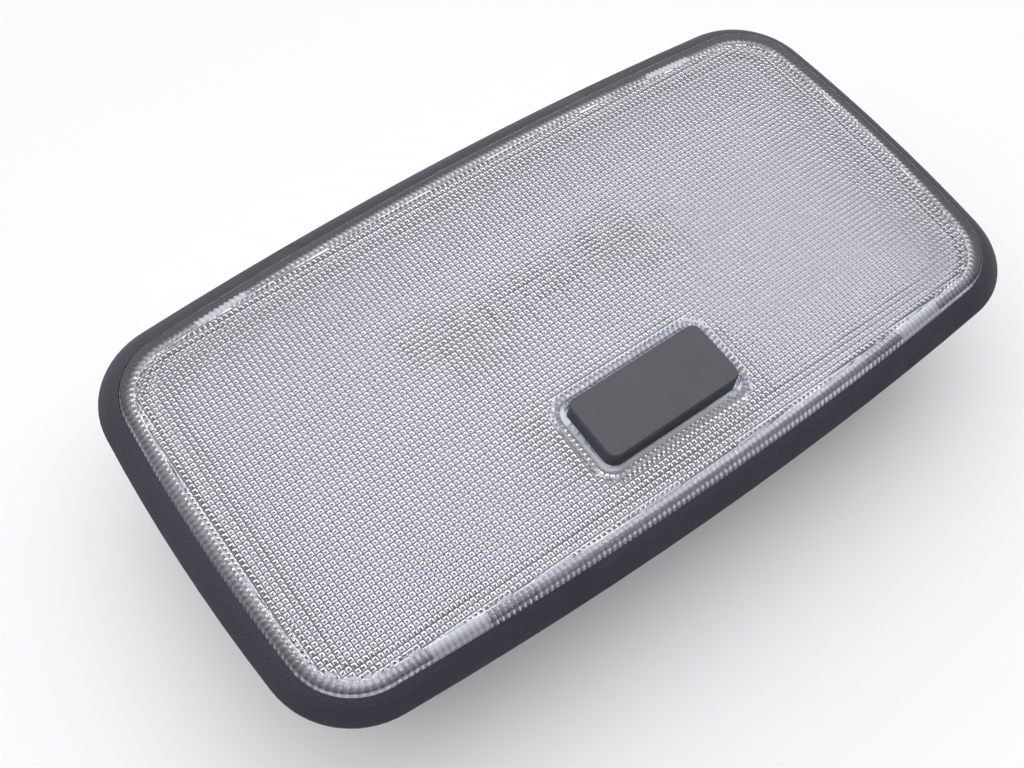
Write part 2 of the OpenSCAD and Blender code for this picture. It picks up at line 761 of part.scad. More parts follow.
module switch_screws() {
    head_z = base_top + 1.5;
    color(metal) for (s = [-1, 1]) translate([s * ear_x, sw_y - s * ear_y, 0]) difference() {
        union() {
            translate([0, 0, floor_z - 2.5]) cylinder(d = 1.8, h = head_z - floor_z + 2.5 + eps, $fn = 32);
            translate([0, 0, head_z]) cylinder(d1 = 4, d2 = 3.2, h = 1.4, $fn = 48);
        }
        for (a = [0, 90]) rotate(a) block([-1.2, -0.25, head_z + 0.7], [1.2, 0.25, head_z + 2]);
    }
}

// Latch track: the wire's tip goes up the left branch, drops into the cleft of the heart-shaped
// island when the button is let go, and comes back down the right branch after the next push
module latch_track() {
    depth = 0.9;
    edge = groove_w / 2 - latch_x;
    isle = -groove_w / 2 - latch_x;
    isle_top = groove_h - latch_d - 0.3;
    translate([0, slider_w / 2 - depth + 2, latch_tip_z - latch_d / 2 - 0.15]) rotate([90, 0, 0])
        linear_extrude(2) difference() {
            polygon([[-edge, 0], [-edge, groove_h], [edge, groove_h], [edge, 1.1], [-isle, 0]]);
            polygon([
                [-isle, isle_top - 0.7], [-isle, isle_top], [0, isle_top - 0.35], [isle, isle_top - 0.05],
                [isle, isle_top - 0.5], [-0.2, isle_top - 0.9]
            ]);
        }
}

// Slider with its stem, its spring pocket and the latch track
module plunger() {
    color("#e9e6dc") translate([0, sw_y, 0]) difference() {
        union() {
            block([slider_x[0], -slider_w / 2, slider_z], [slider_x[1], slider_w / 2, slider_top]);
            block([-stem.x / 2, -stem.y / 2, slider_top - eps], [stem.x / 2, stem.y / 2, button_z - cap_t]);
        }
        translate([spring_x, 0, slider_z - 1])
            cylinder(d = spring_d + wire_d + 0.6, h = slider_top - slider_z + 0.2, $fn = 48);
        for (s = [-1, 1])
            block([s * 3.2 - 1.6, -stem.y, slider_top + 2], [s * 3.2 + 1.6, 1.2 - stem.y / 2, button_z]);
        latch_track();
    }
}

module moving_contact() {
    color(brass) translate([0, sw_y, 0]) {
        block([2, -2, slider_z - leaf_t], [touch_x + 1.2, 2, slider_z]);
        translate([touch_x, 0, slider_z - leaf_t - touch_t]) cylinder(d = touch_d, h = touch_t, $fn = 48);
        translate([touch_x, 0, slider_z]) cylinder(d = touch_d, h = touch_t, $fn = 48);
    }
}

module latch_wire() {
    bend = 0.6;
    color(metal) translate([latch_x, sw_y + latch_y, 0]) {
        translate([0, 0, base_top - 0.9])
            cylinder(d = latch_d, h = latch_tip_z - bend - base_top + 0.9, $fn = 24);
        translate([0, -bend, latch_tip_z - bend]) rotate([90, 0, 90])
            rotate_extrude(angle = 90, $fn = 48) translate([bend, 0]) circle(d = latch_d, $fn = 24);
        translate([0, -bend, latch_tip_z]) rotate([90, 0, 0])
            cylinder(d = latch_d, h = latch_reach - bend, $fn = 24);
    }
}

module latch_leaf() {
    press = latch_y + latch_d / 2 + 0.02;
    color(metal) translate([latch_x, sw_y, 0]) {
        block([-2.6, case_w / 2, base_top + 0.2], [2.6, case_w / 2 + 0.3, cavity_top]);
        block([-1.2, press, base_top + 2.2], [1.2, case_w / 2 + 0.1, base_top + 2.8]);
    }
}

// Return spring, one wire swept along a helix
module return_spring() {
    z0 = base_top + wire_d / 2 + 0.02;
    z1 = slider_top - 0.8 - wire_d / 2 - 0.02;
    steps = 14;
    rings = spring_turns * steps;
    sides = 6;
    r = spring_d / 2;
    points = [for (i = [0:rings], k = [0:sides - 1])
        let (a = i * 360 / steps, b = k * 360 / sides, z = z0 + (z1 - z0) * i / rings)
        [(r + wire_d / 2 * cos(b)) * cos(a), (r + wire_d / 2 * cos(b)) * sin(a), z + wire_d / 2 * sin(b)]];
    walls = [for (i = [0:rings - 1], k = [0:sides - 1])
        let (n = (k + 1) % sides, lo = i * sides, hi = lo + sides)
        [lo + k, hi + k, hi + n, lo + n]];
    ends = [[for (k = [0:sides - 1]) k], [for (k = [0:sides - 1]) rings * sides + sides - 1 - k]];
    color(metal) translate([spring_x, sw_y, 0]) polyhedron(points, concat(walls, ends), convexity = 10);
}

// Button cap
module button_cap() {
    skirt_z0 = button_z - cap_h;
    color("#5c6066") translate([0, sw_y, 0]) {
        difference() {
            hull() {
                translate([0, 0, skirt_z0]) linear_extrude(eps)
                    rounded_rect(button_l + 2 * draft, button_w + 2 * draft, button_r + draft);
                translate([0, 0, button_z - 0.35]) linear_extrude(eps)
                    rounded_rect(button_l, button_w, button_r);
                translate([0, 0, button_z - eps]) linear_extrude(eps)
                    rounded_rect(button_l - 0.5, button_w - 0.5, button_r - 0.25);
            }
            translate([0, 0, skirt_z0 - 1]) linear_extrude(cap_h - cap_t + 1)
                rounded_rect(button_l - 2 * cap_wall, button_w - 2 * cap_wall, 1);
        }
        difference() {
            block([-stem.x / 2 - 1.4, -stem.y / 2 - 1.4, button_z - 4.6],
                [stem.x / 2 + 1.4, stem.y / 2 + 1.4, button_z - cap_t + eps]);
            block([-stem.x / 2 - 0.05, -stem.y / 2 - 0.05, 0],
                [stem.x / 2 + 0.05, stem.y / 2 + 0.05, button_z - cap_t]);
        }
    }
}

bezel();
lens();
housing();
headliner_clips();
reflector();
bulb_glass();
bulb_caps();
bulb_filament();
bulb_contacts();
contact_rivets();
feed_terminal();
lamp_terminal();
door_terminal();
earth_terminal();
fixed_contacts();
switch_base();
switch_case();
switch_screws();
plunger();
moving_contact();
latch_wire();
latch_leaf();
return_spring();
button_cap();
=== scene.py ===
import math
import bmesh
import bpy
import numpy as np
from mathutils import Euler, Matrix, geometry


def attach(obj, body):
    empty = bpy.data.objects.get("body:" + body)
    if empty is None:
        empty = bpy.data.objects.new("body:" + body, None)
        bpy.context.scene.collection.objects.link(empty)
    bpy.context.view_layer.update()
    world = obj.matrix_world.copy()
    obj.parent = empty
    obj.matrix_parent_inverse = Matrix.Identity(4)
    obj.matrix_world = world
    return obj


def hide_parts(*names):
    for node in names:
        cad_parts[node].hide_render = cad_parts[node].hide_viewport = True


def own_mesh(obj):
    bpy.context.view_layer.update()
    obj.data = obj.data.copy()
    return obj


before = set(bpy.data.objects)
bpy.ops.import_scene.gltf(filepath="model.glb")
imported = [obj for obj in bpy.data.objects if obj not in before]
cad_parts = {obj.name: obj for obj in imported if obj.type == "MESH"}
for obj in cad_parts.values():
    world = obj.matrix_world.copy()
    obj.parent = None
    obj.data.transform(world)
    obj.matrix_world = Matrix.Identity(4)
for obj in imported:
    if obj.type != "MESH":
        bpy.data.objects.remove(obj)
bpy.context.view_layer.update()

mm = 0.001


def srgb(hexText):
    values = [int(hexText[i:i + 2], 16) / 255 for i in (1, 3, 5)]
    linear = [v / 12.92 if v <= 0.04045 else ((v + 0.055) / 1.055) ** 2.4 for v in values]
    return (*linear, 1.0)


def addNode(tree, kind, inputs=None, **settings):
    # inputs: a socket's name or number, with its value or another node's output
    node = tree.nodes.new(kind)
    for key, value in settings.items():
        setattr(node, key, value)
    for key, value in (inputs or {}).items():
        if isinstance(value, bpy.types.NodeSocket):
            tree.links.new(value, node.inputs[key])
        else:
            node.inputs[key].default_value = value
    return node


def newMaterial(name):
    material = bpy.data.materials.new(name)
    material.use_nodes = True
    material.node_tree.nodes.clear()
    return material, material.node_tree


surfaceDetail = {
    "noiseLow": 0.3,        # nearly all of the noise lies between these two
    "noiseHigh": 0.7,
    "softDetail": 2.0,      # octaves of noise in slow clouds, and in grain and lines
    "fineDetail": 3.0,
    "grainGloss": 0.06,     # how far roughness swings with the grain of a plastic
    "lineRelief": 0.25,     # strength and depth in mm of the lines in a metal
    "lineDepth": 0.01,
    "lineShine": 0.05,      # how far roughness falls and rises with them
    "lineDull": 0.08,
    "hazeSwing": 0.4,       # share by which a clear body's roughness swings
}


def mottle(tree, size, low, high, detail, stretch=(1, 1, 1)):
    # A value that wanders between low and high in patches of the given size in mm
    place = addNode(tree, "ShaderNodeTexCoord").outputs["Object"]
    place = addNode(tree, "ShaderNodeMapping", {0: place, "Scale": stretch}).outputs[0]
    noise = addNode(tree, "ShaderNodeTexNoise", {
        "Vector": place, "Scale": 1 / (size * mm), "Detail": detail,
    })
    return addNode(tree, "ShaderNodeMapRange", {
        "Value": noise.outputs["Fac"], "From Min": surfaceDetail["noiseLow"],
        "From Max": surfaceDetail["noiseHigh"], "To Min": low, "To Max": high,
    }).outputs[0]


# Plastics as they come from the mould, and enamel
def mouldedPlastic(name, look):
    material, tree = newMaterial(name)
    grain = mottle(tree, look["grain"], 0.0, 1.0, surfaceDetail["fineDetail"])
    shade = mottle(tree, look["cloud"], 0.0, 1.0, surfaceDetail["softDetail"])
    colour = addNode(tree, "ShaderNodeMix", {
        "Factor": shade, "A": srgb(look["colour"]), "B": srgb(look["colour2"]),
    }, data_type="RGBA")
    relief = addNode(tree, "ShaderNodeBump", {
        "Height": grain, "Strength": look["relief"], "Distance": look["depth"] * mm,
    })
    gloss = addNode(tree, "ShaderNodeMapRange", {
        "Value": grain, "To Min": look["roughness"] - surfaceDetail["grainGloss"],
        "To Max": look["roughness"] + surfaceDetail["grainGloss"],
    })
    shader = addNode(tree, "ShaderNodeBsdfPrincipled", {
        "Base Color": colour.outputs["Result"], "Roughness": gloss.outputs[0],
        "IOR": look["ior"], "Normal": relief.outputs[0],
    })
    addNode(tree, "ShaderNodeOutputMaterial", {"Surface": shader.outputs[0]})
    return material


# Metals, with the faint lines that rolling or drawing leaves along one direction
def workedMetal(name, look):
    material, tree = newMaterial(name)
    lines = mottle(tree, look["lines"], 0.0, 1.0, surfaceDetail["fineDetail"], look["along"])
    shade = mottle(tree, look["cloud"], 0.0, 1.0, surfaceDetail["softDetail"])
    colour = addNode(tree, "ShaderNodeMix", {
        "Factor": shade, "A": srgb(look["colour"]), "B": srgb(look["colour2"]),
    }, data_type="RGBA")
    relief = addNode(tree, "ShaderNodeBump", {
        "Height": lines, "Strength": surfaceDetail["lineRelief"],
        "Distance": surfaceDetail["lineDepth"] * mm,
    })
    gloss = addNode(tree, "ShaderNodeMapRange", {
        "Value": lines, "To Min": look["roughness"] - surfaceDetail["lineShine"],
        "To Max": look["roughness"] + surfaceDetail["lineDull"],
    })
    shader = addNode(tree, "ShaderNodeBsdfPrincipled", {
        "Base Color": colour.outputs["Result"], "Metallic": 1.0,
        "Roughness": gloss.outputs[0], "Normal": relief.outputs[0],
    })
    addNode(tree, "ShaderNodeOutputMaterial", {"Surface": shader.outputs[0]})
    return material


# Clear plastic or glass that bends what is seen through it and lets shadow and bounce rays
# straight in, so that the inside of the lamp is lit without caustics
def clearBody(name, look):
    material, tree = newMaterial(name)
    swing = look["roughness"] * surfaceDetail["hazeSwing"]
    surface = {
        "Base Color": srgb(look["colour"]), "Transmission Weight": 1.0, "IOR": look["ior"],
        "Roughness": mottle(tree, look["cloud"], look["roughness"] - swing,
                            look["roughness"] + swing, surfaceDetail["softDetail"]),
    }
    if "ribHighlightColour" in look:
        # The mesh carries painted light and shade at each point: where its level is low, ribs
        # marked for it turn milky and pale, a painted highlight; where it is high, on blunt
        # edges, tips and rib crests, a painted dark shade
        paintedLightShade = addNode(tree, "ShaderNodeAttribute", attribute_name="paintedLightShade").outputs["Fac"]
        paintedHighlight = addNode(tree, "ShaderNodeAttribute", attribute_name="paintedHighlight").outputs["Fac"]
        ribHighlight = addNode(tree, "ShaderNodeMapRange", {
            "Value": paintedLightShade, "From Min": look["ribHighlightFrom"], "From Max": look["ribHighlightFull"],
        }).outputs[0]
        ribHighlight = addNode(tree, "ShaderNodeMath", {0: ribHighlight, 1: paintedHighlight}, operation="MULTIPLY").outputs[0]
        paintedShade = addNode(tree, "ShaderNodeMapRange", {
            "Value": paintedLightShade, "From Min": look["paintedShadeFrom"], "From Max": look["paintedShadeFull"],
        }).outputs[0]
        colour = addNode(tree, "ShaderNodeMix", {
            "Factor": ribHighlight, "A": srgb(look["colour"]), "B": srgb(look["ribHighlightColour"]),
        }, data_type="RGBA").outputs["Result"]
        surface["Base Color"] = addNode(tree, "ShaderNodeMix", {
            "Factor": paintedShade, "A": colour, "B": srgb(look["paintedShadeColour"]),
        }, data_type="RGBA").outputs["Result"]
        highlightHaze = addNode(tree, "ShaderNodeMath", {
            0: ribHighlight, 1: look["ribHighlightHaze"],
        }, operation="MULTIPLY").outputs[0]
        solid = addNode(tree, "ShaderNodeMath", {
            0: highlightHaze, 1: paintedShade,
        }, operation="MAXIMUM").outputs[0]
        surface["Transmission Weight"] = addNode(tree, "ShaderNodeMath", {
            0: 1.0, 1: solid,
        }, operation="SUBTRACT").outputs[0]
    shader = addNode(tree, "ShaderNodeBsdfPrincipled", surface)
    straight = addNode(tree, "ShaderNodeBsdfTransparent", {"Color": srgb(look["passes"])})
    path = addNode(tree, "ShaderNodeLightPath")
    either = addNode(tree, "ShaderNodeMath", {
        0: path.outputs["Is Shadow Ray"], 1: path.outputs["Is Diffuse Ray"],
    }, operation="MAXIMUM")
    mixed = addNode(tree, "ShaderNodeMixShader", {
        0: either.outputs[0], 1: shader.outputs[0], 2: straight.outputs[0],
    })
    addNode(tree, "ShaderNodeOutputMaterial", {"Surface": mixed.outputs[0]})
    return material


print("materials")
# Grain, lines, cloud and depth are in mm. Real grain is near 0.1 mm across and real rolling
# lines finer still: both are drawn coarser, so that they show in the render

# ABS in charcoal from a spark-eroded mould: a fine dry grain that spreads highlights wide
charcoalAbs = mouldedPlastic("moulded_charcoal_abs", {
    "colour": "#262936", "colour2": "#292c39", "roughness": 0.56, "ior": 1.54,
    "grain": 0.34, "relief": 1.0, "depth": 0.08, "cloud": 9.0,
})
# The button's ABS is lighter, its grain finer and half as deep: its top reads as one even tone
greyAbs = mouldedPlastic("moulded_grey_abs", {
    "colour": "#43474e", "colour2": "#464a51", "roughness": 0.54, "ior": 1.54,
    "grain": 0.3, "relief": 0.8, "depth": 0.04, "cloud": 7.0,
})
# Off-white ABS with a satin face: throws the light about inside the lamp
paleAbs = mouldedPlastic("moulded_pale_abs", {
    "colour": "#e2e3e4", "colour2": "#dcdddf", "roughness": 0.42, "ior": 1.54,
    "grain": 0.5, "relief": 0.2, "depth": 0.02, "cloud": 14.0,
})
# Uncoloured polyester of the switch: denser and smoother than ABS, and a little duller
naturalPolyester = mouldedPlastic("moulded_natural_polyester", {
    "colour": "#d6d6d1", "colour2": "#cfcfc9", "roughness": 0.4, "ior": 1.57,
    "grain": 0.4, "relief": 0.2, "depth": 0.02, "cloud": 6.0,
})
# Acetal: waxy, slightly yellow white, smooth because it slides
creamAcetal = mouldedPlastic("moulded_cream_acetal", {
    "colour": "#e6e0d0", "colour2": "#ded7c4", "roughness": 0.33, "ior": 1.48,
    "grain": 0.6, "relief": 0.1, "depth": 0.01, "cloud": 5.0,
})
# White enamel baked on sheet: even and soft, with the faint waves that a sprayed coat keeps
whiteEnamel = mouldedPlastic("baked_white_enamel", {
    "colour": "#ecedef", "colour2": "#e6e7ea", "roughness": 0.42, "ior": 1.5,
    "grain": 0.9, "relief": 0.15, "depth": 0.01, "cloud": 14.0,
})
# Tempered spring steel strip: grey, with faint rolling lines
springSteel = workedMetal("rolled_spring_steel", {
    "colour": "#b4b6ba", "colour2": "#a3a5aa", "roughness": 0.32,
    "lines": 0.3, "along": (0.08, 1, 1), "cloud": 4.0,
})
# Dull nickel on brass: warm, pale, and too soft to mirror anything sharply
nickelPlate = workedMetal("nickel_plated_brass", {
    "colour": "#f0efea", "colour2": "#e8e6e0", "roughness": 0.5,
    "lines": 0.3, "along": (1, 0.2, 1), "cloud": 3.0,
})
# Tungsten wire: dark grey with die marks along it
tungsten = workedMetal("drawn_tungsten_wire", {
    "colour": "#77787c", "colour2": "#6a6b70", "roughness": 0.35,
    "lines": 0.1, "along": (0.2, 1, 1), "cloud": 1.0,
})
# Nickel over bronze strip: as pale as the caps, duller still
nickelledBronze = workedMetal("nickel_plated_bronze", {
    "colour": "#f2f1ed", "colour2": "#eae8e4", "roughness": 0.6,
    "lines": 0.25, "along": (1, 0.1, 1), "cloud": 3.0,
})
# Tin over a headed rivet: a soft grey white
tinnedBrass = workedMetal("tinned_brass_rivet", {
    "colour": "#c9cacb", "colour2": "#b9babc", "roughness": 0.38,
    "lines": 0.2, "along": (1, 1, 1), "cloud": 1.5,
})
# Phosphor bronze strip: redder than brass, springy, rolled
phosphorBronze = workedMetal("rolled_phosphor_bronze", {
    "colour": "#c8925a", "colour2": "#b9834e", "roughness": 0.28,
    "lines": 0.25, "along": (1, 0.1, 1), "cloud": 3.0,
})
# Brass strips pressed from rolled sheet: yellow, with lines along them
rolledBrass = workedMetal("rolled_brass_strip", {
    "colour": "#d6b569", "colour2": "#c5a356", "roughness": 0.3,
    "lines": 0.25, "along": (0.1, 1, 1), "cloud": 5.0,
})
# Fine silver contact faces: soft white metal with a dulled skin
fineSilver = workedMetal("coined_fine_silver", {
    "colour": "#e6e4df", "colour2": "#cfccc6", "roughness": 0.3,
    "lines": 0.2, "along": (1, 1, 1), "cloud": 1.2,
})
# Bright zinc on steel screws: bluish, a little cloudy
zincPlate = workedMetal("zinc_plated_steel", {
    "colour": "#c3c7cc", "colour2": "#afb4ba", "roughness": 0.3,
    "lines": 0.3, "along": (1, 1, 1), "cloud": 1.5,
})
# Music wire: drawn, mid grey and smooth
musicWire = workedMetal("drawn_music_wire", {
    "colour": "#9a9ca1", "colour2": "#8b8d92", "roughness": 0.28,
    "lines": 0.12, "along": (1, 1, 0.3), "cloud": 1.5,
})
# Polycarbonate, polished outside: clear with a cool cast, and bends light strongly
clearPolycarbonate = clearBody("moulded_clear_polycarbonate", {
    "colour": "#f7f8fb", "passes": "#f0f1f6", "roughness": 0.05, "ior": 1.585, "cloud": 3.0,
    # The pale rib colour paints highlights on the ribs, and the dark colour #50515d paints shade
    # on the prisms' edges and tips and on rib crests
    "ribHighlightColour": "#f0f1f6", "ribHighlightHaze": 0.7, "ribHighlightFrom": 0.02, "ribHighlightFull": 0.2,
    "paintedShadeColour": "#50515d", "paintedShadeFrom": 0.3, "paintedShadeFull": 0.6,
})
# Soda glass of the bulb: thin, colourless, with sharp highlights
sodaGlass = clearBody("blown_soda_glass", {
    "colour": "#fdfdfd", "passes": "#fdfdfd", "roughness": 0.01, "ior": 1.52, "cloud": 6.0,
})

nodeFinishes = {
    "bezel": charcoalAbs, "housing": paleAbs, "headliner_clips": springSteel,
    "reflector": whiteEnamel, "bulb_glass": sodaGlass, "bulb_caps": nickelPlate,
    "bulb_filament": tungsten, "bulb_contacts": nickelledBronze, "contact_rivets": tinnedBrass,
    "feed_terminal": rolledBrass, "lamp_terminal": rolledBrass, "door_terminal": rolledBrass,
    "earth_terminal": rolledBrass, "fixed_contacts": fineSilver,
    "switch_base": naturalPolyester, "switch_case": naturalPolyester,
    "switch_screws": zincPlate, "plunger": creamAcetal, "moving_contact": phosphorBronze,
    "latch_wire": musicWire, "latch_leaf": springSteel, "button_cap": greyAbs,
}
for nodeName, finish in nodeFinishes.items():
    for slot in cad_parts[nodeName].material_slots:
        slot.material = finish


class RingMesh:
    # A closed mesh made of rings of points, lofts between them and filled flats, in mm
    clearance = 0.12    # inner points nearer than this to a border are left out
    merge = 1e-4        # the filling treats points nearer than this as one
    weld = 0.002        # points nearer than this become one at the end

    def __init__(self):
        self.points = []
        self.faces = []
        self.finish = {}    # point: its painted light and shade, and its share of painted highlight

    def ring(self, flat, height, paintedLightShade=None, paintedHighlight=0.0):
        start = len(self.points)
        heights = np.broadcast_to(height, len(flat))
        self.points.extend((p[0], p[1], z) for p, z in zip(flat, heights))
        if paintedLightShade is not None:
            highlights = np.broadcast_to(paintedHighlight, len(flat))
            self.finish.update((start + k, (m, highlights[k] * (m > 0))) for k, m in enumerate(paintedLightShade))
        return list(range(start, len(self.points)))

    def loft(self, *rings):
        for a, b in zip(rings, rings[1:]):
            for i in range(len(a)):
                j = (i + 1) % len(a)
                self.faces.append((a[i], a[j], b[j], b[i]))

    def fill(self, outer, holes, inner, lines, heightAt):
        # Triangles between a ring and its holes, all convex, through the inner points and
        # along the lines; heightAt gives an inner point's height and its painted shade
        known = [k for ring in [outer] + holes for k in ring]
        inner = np.array(inner)
        keep = self.within(outer, inner) < -self.clearance
        for hole in holes:
            keep &= self.within(hole, inner) > self.clearance
        place = np.cumsum(keep) - 1
        lines = [(place[a], place[b]) for a, b in lines if keep[a] and keep[b]]
        flat = [self.points[k][:2] for k in known] + [tuple(p) for p in inner[keep]]
        borders, at = [], 0
        for ring in [outer] + holes:
            borders.append(list(range(at, at + len(ring))))
            at += len(ring)
        edges = [(a + at, b + at) for a, b in lines]
        corners, _, faces, fromCorner, _, fromFace = geometry.delaunay_2d_cdt(
            flat, edges, borders, 0, self.merge, True)
        index = {}
        for face, source in zip(faces, fromFace):
            if 0 not in source or any(k in source for k in range(1, len(borders))):
                continue
            for k in face:
                if k not in index:
                    same = [c for c in fromCorner[k] if c < at]
                    index[k] = known[same[0]] if same else len(self.points)
                    if not same:
                        x, y = corners[k]
                        z, paintedLightShade = heightAt(x, y)
                        self.points.append((x, y, float(z)))
                        self.finish[len(self.points) - 1] = (paintedLightShade, 0.0)
            self.faces.append(tuple(index[k] for k in face))

    def within(self, ring, places):
        # Distance of each place outside a convex ring, negative inside it
        corners = np.array([self.points[k][:2] for k in ring])
        along = np.roll(corners, -1, axis=0) - corners
        out = np.stack([along[:, 1], -along[:, 0]], axis=1)
        out /= np.linalg.norm(along, axis=1)[:, None]
        return (places @ out.T - (corners * out).sum(axis=1)).max(axis=1)

    def build(self, name, material):
        work = bmesh.new()
        # Two layers carry each point's painted light and shade and its share of painted highlight
        layerNames = ("paintedLightShade", "paintedHighlight")
        for layerName in layerNames:
            work.verts.layers.float.new(layerName)
        layers = [work.verts.layers.float[layerName] for layerName in layerNames]
        made = [work.verts.new([v * mm for v in p]) for p in self.points]
        for point, values in self.finish.items():
            for layer, value in zip(layers, values):
                made[point][layer] = value
        for face in self.faces:
            if len(set(face)) == len(face):
                work.faces.new([made[k] for k in face])
        bmesh.ops.remove_doubles(work, verts=work.verts, dist=self.weld * mm)
        loose = [v for v in work.verts if not v.link_faces]
        bmesh.ops.delete(work, geom=loose, context="VERTS")
        bmesh.ops.recalc_face_normals(work, faces=work.faces)
        openEdges = sum(1 for e in work.edges if len(e.link_faces) != 2)
        print(name, len(work.faces), "faces, open edges", openEdges)
        mesh = bpy.data.meshes.new(name)
        work.to_mesh(mesh)
        work.free()
        mesh.polygons.foreach_set("use_smooth", [True] * len(mesh.polygons))
        mesh.materials.append(material)
        piece = bpy.data.objects.new(name, mesh)
        bpy.context.collection.objects.link(piece)
        return piece


# Outline of the lamp from above: four long arcs and four corner arcs, tangent to each other
outline = {
    "halfLength": 77.0,
    "halfWidth": 41.6,
    "cornerRadius": 15.4,
    "sideBend": 4.67,      # half the angle of a long side's arc, in degrees
    "endBend": 4.36,
    "station": 0.5,        # distance between the points along it, half a flute
    "stationInset": 6.0,   # where that distance is measured
}


def arcRows(arcs, spacing, inset):
    # Points and outward directions along arcs given as centre, radius, first and last angle
    rows = []
    for centre, radius, low, high in arcs:
        # An even number of points, so that flutes and ribs take turns across the joins too
        count = 2 * max(1, round((radius - inset) * (high - low) / spacing / 2))
        for k in range(count):
            t = low + (high - low) * k / count
            c, s = math.cos(t), math.sin(t)
            rows.append((centre[0] + radius * c, centre[1] + radius * s, c, s))
    return np.array(rows)


def lampStations(shape):
    # The arcs' centres follow from the lamp's size, its corner radius and how its sides bend
    r = shape["cornerRadius"]
    reachL, reachW = shape["halfLength"] - r, shape["halfWidth"] - r
    a, b = math.radians(shape["sideBend"]), math.radians(shape["endBend"])
    cross = math.sin(a) * math.sin(b) - (1 - math.cos(a)) * (1 - math.cos(b))
    sideReach = (reachL * math.sin(b) - reachW * (1 - math.cos(b))) / cross
    endReach = (reachW * math.sin(a) - reachL * (1 - math.cos(a))) / cross
    sideCentre = (0.0, shape["halfWidth"] - sideReach - r)
    endCentre = (shape["halfLength"] - endReach - r, 0.0)
    cornerX, cornerY = sideReach * math.sin(a), endReach * math.sin(b)
    right = math.pi / 2
    arcs = [
        (endCentre, endReach + r, -b, b),
        ((cornerX, cornerY), r, b, right - a),
        (sideCentre, sideReach + r, right - a, right + a),
        ((-cornerX, cornerY), r, right + a, 2 * right - b),
    ]
    # The other half is this one turned half round
    arcs += [((-c[0], -c[1]), radius, low + 2 * right, high + 2 * right)
             for c, radius, low, high in arcs]
    return arcRows(arcs, shape["station"], shape["stationInset"])


def roundedStations(centre, halfLength, halfWidth, radius, spacing, inset):
    # A rectangle with round corners, its straight sides divided like the arcs
    right = math.pi / 2
    corners = [np.array([centre[0] + sx * (halfLength - radius),
                         centre[1] + sy * (halfWidth - radius)])
               for sx, sy in ((1, 1), (-1, 1), (-1, -1), (1, -1))]
    rows = []
    for k, corner in enumerate(corners):
        rows.extend(arcRows([(corner, radius, k * right, (k + 1) * right)], spacing, inset))
        out = np.array([math.cos((k + 1) * right), math.sin((k + 1) * right)])
        last, after = corner + radius * out, corners[(k + 1) % 4] + radius * out
        count = 2 * max(1, round(np.linalg.norm(after - last) / spacing / 2))
        rows.extend((*(last + (after - last) * i / count), *out) for i in range(count))
    return np.array(rows)


def movedIn(rows, inset):
    # The line of stations, moved in by inset: one number, or one for each station
    return rows[:, 0:2] - np.asarray(inset).reshape(-1, 1) * rows[:, 2:4]


